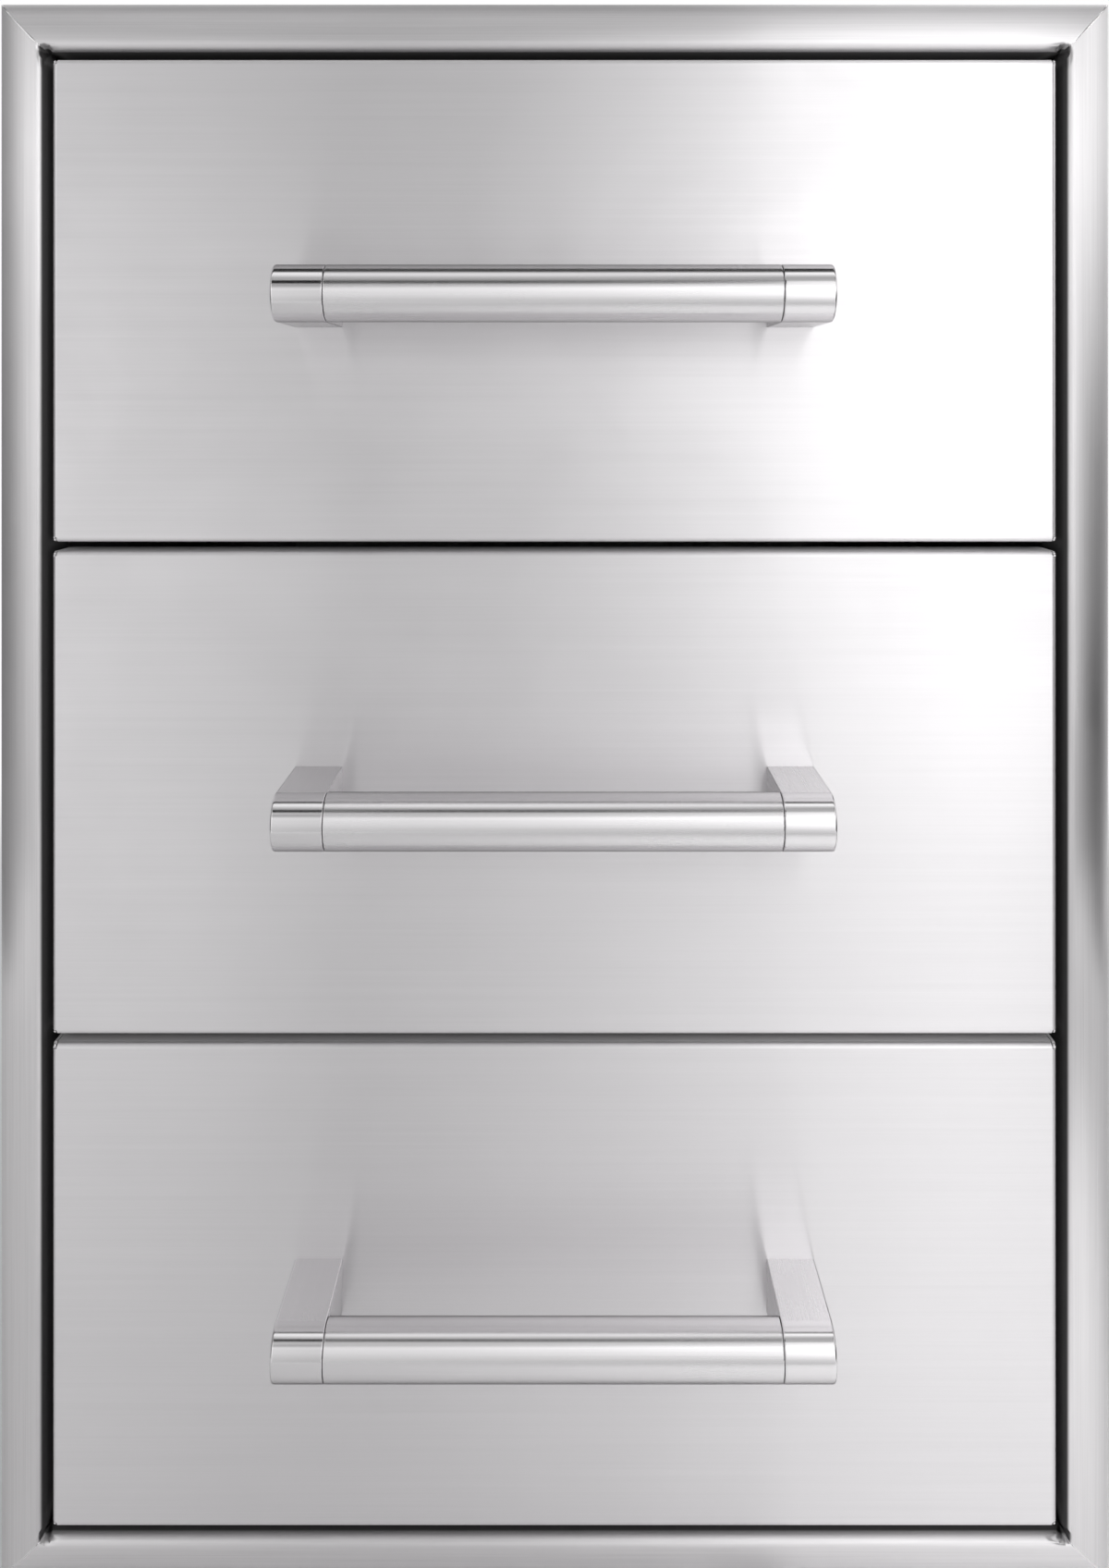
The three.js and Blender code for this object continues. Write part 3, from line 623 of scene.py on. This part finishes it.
# %% Loft one rail with its mitres
seam = 0.2 * mm
scoop_radius = 2.6 * mm
scoop_depth = 4.5 * mm
seam_start = scoop_radius
setbacks = [0, 0.25, 0.6, 1.1, 1.8, 2.8, 4.5, 9, 30]
top_corner, bottom_corner = 1.6 * mm, 3.0 * mm


def mitre_rings(half_length, corner_radius):
    """Rings of (along, u, v) from the mitre inward. The radius rounds the frame's outer corner."""
    rings = []
    for setback in setbacks:
        ring = []
        for u, v in section:
            along = half_length + u - (seam if u > seam_start else 0) - setback * mm
            from_inner_corner = math.hypot(u, along - half_length)
            if from_inner_corner < scoop_radius and v > trim_proud / 2:
                v -= scoop_depth * (1 - (from_inner_corner / scoop_radius) ** 2)
            from_corner = half_length + trim_width - along
            from_edge = trim_width - u
            if from_corner < corner_radius and from_edge < corner_radius:
                pull = corner_radius - math.sqrt(max(corner_radius**2 - (corner_radius - from_corner)**2, 0))
                from_edge += pull * (1 - from_edge / corner_radius)
                u = trim_width - from_edge
                along = min(along, half_length + u - seam)
            ring.append((along, u, v))
        rings.append(ring)
    return rings


def trim_rail(name, material, half_length, place, first_corner, last_corner):
    rings = [[(-along, u, v) for along, u, v in ring] for ring in mitre_rings(half_length, first_corner)]
    rings += mitre_rings(half_length, last_corner)[::-1]
    points, faces = loft_rings([[place(*p) for p in ring] for ring in rings], close_ends=False)
    count = len(section)
    last = len(points) - count
    for i in range(count // 2 - 1):
        cut = (i, i + 1, count - 2 - i, count - 1 - i)
        faces += [cut[::-1], tuple(last + j for j in cut)]
    rail = mesh_piece(name, points, faces, material)
    outward(rail.data)
    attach(rail, "cabinet")
    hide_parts(name.replace("rail", "trim"))
    return rail


rails = [
    trim_rail("rail_top", trim_across, opening_half_width,
              lambda a, u, v: (a, -v, opening_top + u), top_corner, top_corner),
    trim_rail("rail_bottom", trim_across, opening_half_width,
              lambda a, u, v: (a, -v, opening_bottom - u), bottom_corner, bottom_corner),
    trim_rail("rail_left", trim_upright, opening_half_height,
              lambda a, u, v: (opening_left - u, -v, opening_centre + a), bottom_corner, top_corner),
    trim_rail("rail_right", trim_upright, opening_half_height,
              lambda a, u, v: (opening_right + u, -v, opening_centre + a), bottom_corner, top_corner),
]
print("rails:", [(r.name, len(r.data.polygons)) for r in rails])

# %% [markdown]
# The mitre weld is ground flush, but it stays as a fine bright line. It is a thin bead that follows
# the section in the plane of the mitre, so it is lofted from small diamonds along the section.

# %% Run a weld bead along each mitre
bead_proud, bead_half_width, bead_root = 0.06 * mm, 0.28 * mm, 0.3 * mm


def mitre_bead(x_sign, z_sign):
    outer = section[:len(section) // 2]
    path = [(u, v) for u, v in outer if v > 1.5 * mm and seam_start < u < trim_width - 0.9 * mm]
    corner_x = opening_right if x_sign > 0 else opening_left
    corner_z = opening_top if z_sign > 0 else opening_bottom
    side = Vector((x_sign, 0, -z_sign)).normalized()
    last = len(path) - 1
    rings = []
    for i, (u, v) in enumerate(path):
        before, after = path[max(i - 1, 0)], path[min(i + 1, last)]
        du, dv = after[0] - before[0], after[1] - before[1]
        normal = Vector((-x_sign * dv, -du * math.sqrt(2), -z_sign * dv)).normalized()
        centre = Vector((corner_x + x_sign * u, -v, corner_z + z_sign * u))
        taper = min(1, 0.3 + min(i, last - i) / 3)
        rings.append([centre + normal * bead_proud * taper, centre + side * bead_half_width * taper,
                      centre - normal * bead_root, centre - side * bead_half_width * taper])
    return loft_rings(rings)


beads = mesh_piece("mitre_welds", *merged(mitre_bead(x, z) for x in signs for z in signs), weld_bright)
outward(beads.data)
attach(beads, "cabinet")
print("weld beads:", len(beads.data.polygons), "faces")

# %% [markdown]
# ## Drawer fronts
# A front is one sheet folded back on four sides. A press brake leaves a bend of about 1.9 mm
# outside, and at each corner a small open notch, because the sheet can't bend two ways at once. The
# skin is built as the real blank is: a flat face, four bends that stop short of the corners and
# four returns. Solidify then gives the sheet its thickness towards the inside.

# %% Fold the sheet of a drawer front
fold_radius = 1.9 * mm
return_depth = front_high.y - front_low.y
corner_gap = 0.35 * mm
flat_inset = fold_radius + 0.5 * mm
notch = fold_radius + corner_gap * 0.4
notch_length = 1.6 * mm
side_clear = 0.12 * mm


def fold_profile():
    """Points from the face's edge over the bend to the end of the return, as (inward, depth)."""
    turns = [math.pi / 2 * i / bend_steps for i in range(bend_steps + 1)]
    points = [(fold_radius * (1 - math.sin(a)), fold_radius * (1 - math.cos(a))) for a in turns]
    return points + [(0.0, fold_radius + 0.4 * mm), (0.0, fold_radius + 0.9 * mm),
                     (0.0, fold_radius + notch_length), (0.0, return_depth)]


def front_skin(middle_z):
    points, faces = [], []

    def add(x, depth, z):
        points.append((x, depth + face_y, z + middle_z))
        return len(points) - 1

    corners = ((-1, -1), (1, -1), (1, 1), (-1, 1))
    rings = []
    for inset in (fold_radius, flat_inset):
        half_x, half_z = front_half_width - inset, front_half_height - inset
        rings.append([add(sx * half_x, 0, sz * half_z) for sx, sz in corners])
    rim, flat = rings
    faces.append(tuple(flat))
    faces += [(rim[i], rim[(i + 1) % 4], flat[(i + 1) % 4], flat[i]) for i in range(4)]
    for sideways, sign in ((False, -1), (True, 1), (False, 1), (True, -1)):
        half_run, half_out = front_half_width, front_half_height
        clear = sheet + corner_gap
        if sideways:
            half_run, half_out, clear = half_out, half_run, side_clear
        loops = []
        for i, (inward_by, depth) in enumerate(fold_profile()):
            closed = min(max(depth - fold_radius, 0) / notch_length, 1) ** 0.5
            run = half_run - (notch - (notch - clear) * closed if i else fold_radius)
            out = sign * (half_out - inward_by)
            ends = ((out, -run), (out, run)) if sideways else ((-run, out), (run, out))
            loops.append([add(x, depth, z) for x, z in ends])
        faces += [(a, b, d, c) for (a, b), (c, d) in zip(loops, loops[1:])]
    return points, faces


def apply_modifiers(piece):
    shaped = bpy.data.meshes.new_from_object(piece.evaluated_get(bpy.context.evaluated_depsgraph_get()))
    shaped.name = piece.name
    piece.modifiers.clear()
    piece.data = shaped


def drawer_front(row):
    piece = mesh_piece(f"{row}_folded_front", *front_skin(row_height[row]), front_brushed)
    outward(piece.data)
    facing = sum(p.area * p.normal.y for p in piece.data.polygons if abs(p.normal.y) > 0.99)
    if facing > 0:
        piece.data.flip_normals()
    thick = piece.modifiers.new("sheet", "SOLIDIFY")
    thick.thickness = sheet
    thick.offset = -1
    thick.use_even_offset = True
    apply_modifiers(piece)
    shade(piece.data, 30)
    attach(piece, f"{row}_drawer")
    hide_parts(f"{row}_drawer_front")
    return piece


fronts = [drawer_front(row) for row in rows]
print("fronts:", [(f.name, len(f.data.polygons)) for f in fronts])

# %% [markdown]
# ## Handles
# The bar is a length of tube between two brackets. A bracket has the bar's round in front and is
# flat above and below, so the bar's outline runs on through it. Both have fine chamfers at their
# ends, which catch the light and draw the dark joint line between them.

# %% Read the handle's sizes and draw its ends
bar_low, bar_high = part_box("middle_handle_bar")
bar_end = bar_high.x
bar_radius = (bar_high.z - bar_low.z) / 2
bar_y = (bar_low.y + bar_high.y) / 2
bar_chamfer, bar_wall = 0.25 * mm, 1.5 * mm
bar_sides, bracket_sides, spigot_sides = 96, 48, 48
bracket_inner = bar_end + 0.3 * mm
bracket_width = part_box("middle_handle_bracket_right")[1].x - bracket_inner
bracket_rear = face_y - 0.03 * mm
joint_edge, outer_edge = 0.25 * mm, 0.7 * mm
straight_ring = 0.3 * mm
spigot_radius = bar_radius - 1.8 * mm
end_profile = [(bar_end, bar_radius - bar_wall), (bar_end, bar_radius - bar_chamfer),
               (bar_end - bar_chamfer * 0.4, bar_radius - bar_chamfer * 0.3),
               (bar_end - bar_chamfer, bar_radius), (bar_end - bar_chamfer - straight_ring, bar_radius)]
bar_profile = [(-x, r) for x, r in end_profile] + end_profile[::-1]


def rounded_end(edge):
    """Stations of (along, inset) over an end whose edge is rounded."""
    return [(0, edge), (0.12 * edge, 0.6 * edge), (0.4 * edge, 0.22 * edge), (edge, 0),
            (edge + straight_ring, 0)]


bracket_profile = rounded_end(joint_edge)
bracket_profile += [(bracket_width - along, inset) for along, inset in rounded_end(outer_edge)[::-1]]
print("bar radius:", round(bar_radius, 4), "bracket width:", round(bracket_width, 4))


# %% Turn the bars and shape the brackets
def round_ring(x, radius, z, count):
    angles = np.linspace(0, 2 * math.pi, count, endpoint=False)
    return [(x, bar_y + radius * math.cos(a), z + radius * math.sin(a)) for a in angles]


def bracket_ring(x, radius, z):
    angles = np.linspace(math.pi / 2, 1.5 * math.pi, bracket_sides + 1)
    nose = [(x, bar_y + radius * math.cos(a), z + radius * math.sin(a)) for a in angles]
    return [(x, bracket_rear, z + radius)] + nose + [(x, bracket_rear, z - radius)]


handle_pieces = []
for row in rows:
    z = row_height[row]
    points, faces = loft_rings([round_ring(x, r, z, bar_sides) for x, r in bar_profile], close_ends=False)
    last = len(points) - bar_sides
    faces += [(last + i, last + (i + 1) % bar_sides, (i + 1) % bar_sides, i) for i in range(bar_sides)]
    bar = mesh_piece(f"{row}_bar", points, faces, bar_satin)
    outward(bar.data, 40)
    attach(bar, f"{row}_drawer")
    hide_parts(f"{row}_handle_bar")
    handle_pieces.append(bar)
    for side, sign in zip(sides, signs):
        body = loft_rings([bracket_ring(sign * (bracket_inner + along), bar_radius - inset, z)
                           for along, inset in bracket_profile])
        spigot = loft_rings([round_ring(sign * x, spigot_radius, z, spigot_sides)
                             for x in (bracket_inner - 8 * mm, bracket_inner + 1 * mm)])
        bracket = mesh_piece(f"{row}_bracket_{side}", *merged([body, spigot]), bracket_bright)
        outward(bracket.data, 40)
        bracket.data.materials.append(bracket_flat)
        for face in bracket.data.polygons:
            flat_top = abs(face.normal.z) > 0.98 and face.center.y > bar_y
            face.material_index = int(flat_top or abs(face.normal.x) > 0.98)
        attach(bracket, f"{row}_drawer")
        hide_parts(f"{row}_handle_bracket_{side}")
        handle_pieces.append(bracket)
print("handle pieces:", len(handle_pieces))

# %% [markdown]
# ## Ball cages
# Each slide has two cages: thin folded strips that keep the balls apart. The CAD's cages have three
# rough balls a row; a real one has a ball every 16 mm. The strip is lofted along the slide. The balls
# repeat along straight lines, so Geometry Nodes set them: a line is divided into equal steps, and
# each step gets a ball.

# %% Build the tree that sets balls along lines
ball_radius = 2 * mm
balls_in_row = 14
only_geometry = [("Geometry", geometry)]


def place_and_dress(tree, given, sockets):
    """Ends a tree: instances on points, made real, with the finish that the tree is given."""
    placed = add_node(tree, "GeometryNodeInstanceOnPoints", sockets).outputs[0]
    real = add_node(tree, "GeometryNodeRealizeInstances", {0: placed}).outputs[0]
    dressed = add_node(tree, "GeometryNodeSetMaterial", {"Geometry": real, "Material": given["Finish"]})
    add_node(tree, "NodeGroupOutput", {0: dressed.outputs[0]})


ball_rows, given = new_group(
    "ball_rows", "GeometryNodeTree",
    [("Geometry", geometry, None), ("Balls in a row", "NodeSocketInt", balls_in_row),
     ("Ball radius", number, ball_radius), ("Finish", "NodeSocketMaterial", None)], only_geometry)
lines = add_node(ball_rows, "GeometryNodeMeshToCurve", {0: given["Geometry"]})
steps = add_node(ball_rows, "GeometryNodeResampleCurve",
                 {"Curve": lines.outputs[0], "Count": given["Balls in a row"]})
ball = add_node(ball_rows, "GeometryNodeMeshIcoSphere", {"Subdivisions": 2, "Radius": given["Ball radius"]})
smooth = add_node(ball_rows, "GeometryNodeSetShadeSmooth", {0: ball.outputs[0]})
place_and_dress(ball_rows, given, {"Points": steps.outputs[0], "Instance": smooth.outputs[0]})
print("tree:", ball_rows.name, "inputs:", [output.name for output in given if output.name])

# %% Fold the cage strips and run the balls
cage_sheet = 0.6 * mm
cage_bend = 0.8 * mm
cage_bend_steps = 4
ball_seat = 0.85 * ball_radius
flange_past_ball = 1.5 * mm
ball_margin = 5 * mm
faces_in_ball = 80


def cage_shapes(row, side, kind):
    """The strip's skin and the two lines of balls of one cage, placed by the boxes of the CAD."""
    slide_low, slide_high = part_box(f"{row}_{side}_slide_outer_member")
    back, facing_in = (slide_low.x, 1) if side == "left" else (slide_high.x, -1)
    middle = (slide_low.z + slide_high.z) / 2
    low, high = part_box(f"{row}_{side}_slide_{kind}_cage")
    near, far = sorted((abs(low.x - back), abs(high.x - back)))
    ball_depth = far - ball_seat
    ball_height = high.z - middle - ball_seat
    flange = ball_depth + flange_past_ball
    bend_depth = near + cage_sheet / 2 + cage_bend
    bend_radii = (cage_bend, cage_bend)
    line = [(flange, -ball_height)]
    line += arc((bend_depth, cage_bend - ball_height), bend_radii, 270, 180, cage_bend_steps)
    line += arc((bend_depth, ball_height - cage_bend), bend_radii, 180, 90, cage_bend_steps)
    line += [(flange, ball_height)]
    outline = offset_sheet(line, cage_sheet)
    strip = loft_rings([[(back + facing_in * p, y, middle + q) for p, q in outline] for y in (low.y, high.y)])
    x = back + facing_in * ball_depth
    ball_lines = [((x, low.y + ball_margin, z), (x, high.y - ball_margin, z))
                  for z in (middle - ball_height, middle + ball_height)]
    return strip, ball_lines


def run_tree(piece, tree, values):
    """Runs a geometry tree on a piece with values for the tree's named inputs."""
    setter = piece.modifiers.new(tree.name, "NODES")
    setter.node_group = tree
    for item in tree.interface.items_tree:
        if item.name in values:
            setter[item.identifier] = values[item.name]
    apply_modifiers(piece)


ball_pieces = []
for row in rows:
    for kind in ("outer", "inner"):
        shapes = [cage_shapes(row, side, kind) for side in sides]
        skin = merged(strip for strip, ball_lines in shapes)
        strips = mesh_piece(f"{row}_{kind}_cage_strips", *skin, cage_strip)
        outward(strips.data)
        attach(strips, f"{row}_{kind}_cages")
        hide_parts(*[f"{row}_{side}_slide_{kind}_cage" for side in sides])
        ends = [end for strip, ball_lines in shapes for line in ball_lines for end in line]
        mesh = bpy.data.meshes.new(f"{row}_{kind}_balls")
        mesh.from_pydata(ends, [(i, i + 1) for i in range(0, len(ends), 2)], [])
        balls = linked_object(f"{row}_{kind}_balls", mesh)
        run_tree(balls, ball_rows,
                 {"Balls in a row": balls_in_row, "Ball radius": ball_radius, "Finish": ball_steel})
        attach(balls, f"{row}_{kind}_cages")
        ball_pieces.append(balls)
print("balls:", sum(len(b.data.polygons) for b in ball_pieces) // faces_in_ball)

# %% [markdown]
# ## Rivets, screws and corner welds
# The panels are joined with blind rivets, each slide is riveted to the cabinet and screwed to its
# tray, and the tray is screwed to the front. A press-braked front also shows a dot of weld at each
# corner. All of these repeat, so one tree sets them: it takes points that know which way they face,
# and puts a head on each, turned at random as a worker leaves them.

# %% Turn a head from its profile
def lathe_head(name, profile, segments=20, recess=None):
    """A closed head from (radius, height) points in millimetres, rim first, with an optional cross recess."""
    work = bmesh.new()
    angles = np.linspace(0, 2 * math.pi, segments, endpoint=False)
    rings = [[work.verts.new((r * mm * math.cos(a), r * mm * math.sin(a), h * mm)) for a in angles]
             for r, h in profile]
    for lower, upper in zip(rings, rings[1:]):
        for i in range(segments):
            j = (i + 1) % segments
            work.faces.new((lower[i], lower[j], upper[j], upper[i]))
    work.faces.new(rings[0][::-1])
    if recess:
        arm, half, drop = recess
        plan = []
        for quarter in range(4):
            c, s = math.cos(quarter * math.pi / 2), math.sin(quarter * math.pi / 2)
            plan += [(c * x - s * y, s * x + c * y) for x, y in ((arm, -half), (arm, half), (half, half))]
        top = profile[-1][1]
        rim = [work.verts.new((x * mm, y * mm, top * mm)) for x, y in plan]
        well = [work.verts.new((0.6 * x * mm, 0.6 * y * mm, (top - drop) * mm)) for x, y in plan]
        for i in range(len(plan)):
            j = (i + 1) % len(plan)
            work.faces.new((rim[j], rim[i], well[i], well[j]))
        work.faces.new(well)
        loops = []
        for ring in (rim, rings[-1]):
            loops += [work.edges.get((ring[i], ring[(i + 1) % len(ring)])) for i in range(len(ring))]
        bmesh.ops.triangle_fill(work, edges=loops, use_beauty=True)
    else:
        work.faces.new(rings[-1])
    bmesh.ops.recalc_face_normals(work, faces=work.faces)
    mesh = bpy.data.meshes.new(name)
    work.to_mesh(mesh)
    work.free()
    return finished_piece(name, mesh, sharp_angle=32)


pan_head = lathe_head("pan_head", [(3.6, 0), (3.6, 0.7), (3.45, 1.25), (3.05, 1.7), (2.5, 1.9)],
                      recess=(1.6, 0.42, 1.1))
rivet_head = lathe_head("rivet_head", [(3.2, 0), (3.15, 0.2), (2.85, 0.45), (2.2, 0.68), (1.4, 0.8),
                                       (1.15, 0.7), (1.05, 0.4), (0.95, 0.4), (0.85, 0.5)])
weld_dot = lathe_head("weld_dot", [(0.62, 0), (0.68, 0.2), (0.6, 0.42), (0.38, 0.6), (0.12, 0.66)],
                      segments=10)
heads = (pan_head, rivet_head, weld_dot)
print("heads:", [(h.name, len(h.data.polygons)) for h in heads])

# %% Build the tree that puts a head on every point
heads_on_points, given = new_group(
    "heads_on_points", "GeometryNodeTree",
    [("Geometry", geometry, None), ("Head", "NodeSocketObject", None), ("Turn seed", "NodeSocketInt", 3),
     ("Size", number, 1.0), ("Finish", "NodeSocketMaterial", None)], only_geometry)
tree = heads_on_points
head = add_node(tree, "GeometryNodeObjectInfo", {"Object": given["Head"]})
way = add_node(tree, "GeometryNodeInputNamedAttribute", {"Name": "facing"}, data_type="FLOAT_VECTOR")
stand = add_node(tree, "FunctionNodeAlignRotationToVector", {"Vector": way.outputs["Attribute"]}, axis="Z")
chance = add_node(tree, "FunctionNodeRandomValue", {2: 0.0, 3: 2 * math.pi, "Seed": given["Turn seed"]},
                  data_type="FLOAT")
around = add_node(tree, "ShaderNodeCombineXYZ", {"Z": chance.outputs[1]})
as_turn = add_node(tree, "FunctionNodeEulerToRotation", {0: around.outputs[0]})
turned = add_node(tree, "FunctionNodeRotateRotation", {0: stand.outputs[0], 1: as_turn.outputs[0]},
                  rotation_space="LOCAL")
place_and_dress(tree, given, {"Points": given["Geometry"], "Instance": head.outputs["Geometry"],
                              "Rotation": turned.outputs[0], "Scale": given["Size"]})
print("tree:", tree.name, "inputs:", [output.name for output in given if output.name])


# %% Rivet the cabinet
def set_heads(name, places, head, finish, body, seed):
    """Places are (x, y, z, facing) in metres; all of them become one mesh that rides on the body."""
    mesh = bpy.data.meshes.new(name)
    mesh.from_pydata([place[:3] for place in places], [], [])
    facing = mesh.attributes.new("facing", "FLOAT_VECTOR", "POINT")
    facing.data.foreach_set("vector", [v for place in places for v in place[3]])
    piece = linked_object(name, mesh)
    run_tree(piece, heads_on_points, {"Head": head, "Turn seed": seed, "Size": 1.0, "Finish": finish})
    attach(piece, body)
    return piece


def slide_fixings(member):
    """A slide member's low x, its middle height and the two places along it that get a fastener."""
    low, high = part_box(member)
    return low.x, (low.z + high.z) / 2, [low.y + share * (high.y - low.y) for share in (0.1, 0.9)]


side_low, side_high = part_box("side_panel_right")
back_low, back_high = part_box("back_panel")
seam_height = 7 * mm
from_corner = 45 * mm
from_side = 8 * mm
rivets_along, rivets_up = 5, 6
rivets = []
for sign in signs:
    out = (sign, 0, 0)
    x = sign * side_high.x
    for row in rows:
        member_x, z, places = slide_fixings(f"{row}_right_slide_outer_member")
        rivets += [(x, y, z, out) for y in places]
    places = np.linspace(side_low.y + from_corner, side_high.y - from_corner, rivets_along)
    for z in (side_low.z + seam_height, side_high.z - seam_height):
        rivets += [(x, y, z, out) for y in places]
    for z in np.linspace(back_low.z + from_corner, back_high.z - from_corner, rivets_up):
        rivets.append((sign * (side_high.x - from_side), back_high.y, z, inward))
rivet_piece = set_heads("cabinet_rivets", rivets, rivet_head, rivet_steel, "cabinet", 3)
print("rivets:", len(rivets), "faces:", len(rivet_piece.data.polygons))

# %% Screw the trays to their slides and fronts, and weld the corners of the fronts
seat_gap, tray_wall = 0.3 * mm, 1 * mm
screw_rise, screw_side = 40 * mm, 150 * mm
dot_inset, dot_depth = 0.9 * mm, 1.5 * mm
for seed, row in enumerate(rows):
    member_x, slide_z, places = slide_fixings(f"{row}_right_slide_inner_member")
    wall_x = member_x - seat_gap - tray_wall
    screw_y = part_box(f"{row}_drawer_tray")[0].y + tray_wall
    screws, dots = [], []
    for sign in signs:
        corner_x = sign * (front_half_width - dot_inset)
        screws += [(sign * wall_x, y, slide_z, (-sign, 0, 0)) for y in places]
        for up in signs:
            screws.append((sign * screw_side, screw_y, row_height[row] + up * screw_rise, inward))
            corner_z = row_height[row] + up * (front_half_height - dot_inset)
            dots.append((corner_x, face_y + dot_depth, corner_z, Vector((sign, -1.2, up)).normalized()))
    body = f"{row}_drawer"
    set_heads(f"{row}_tray_screws", screws, pan_head, screw_steel, body, seed)
    set_heads(f"{row}_corner_welds", dots, weld_dot, weld_bright, body, 7)
for head in heads:
    bpy.data.objects.remove(head, do_unlink=True)
print("tray screws:", len(rows) * len(screws), "corner welds:", len(rows) * len(dots))

# %% [markdown]
# ## Sheet parts that stay as the CAD made them
# The cabinet's panels, the liners, the trays and the slide members are plain folded sheet, and the
# CAD solids already have their bends. They keep their meshes and get their finishes.

# %% Give the CAD nodes their finishes
finish_by_part = {
    "panel": box_sheet, "drawer_liner": box_sheet, "drawer_tray": tray_sheet, "member": zinc_plate,
    "stud_plate": zinc_plate, "cage": cage_strip,
}
painted = 0
for name, node in cad.items():
    for part, finish in finish_by_part.items():
        if part in name:
            node.material_slots[0].material = finish
            painted += 1
print("CAD nodes with a new finish:", painted)
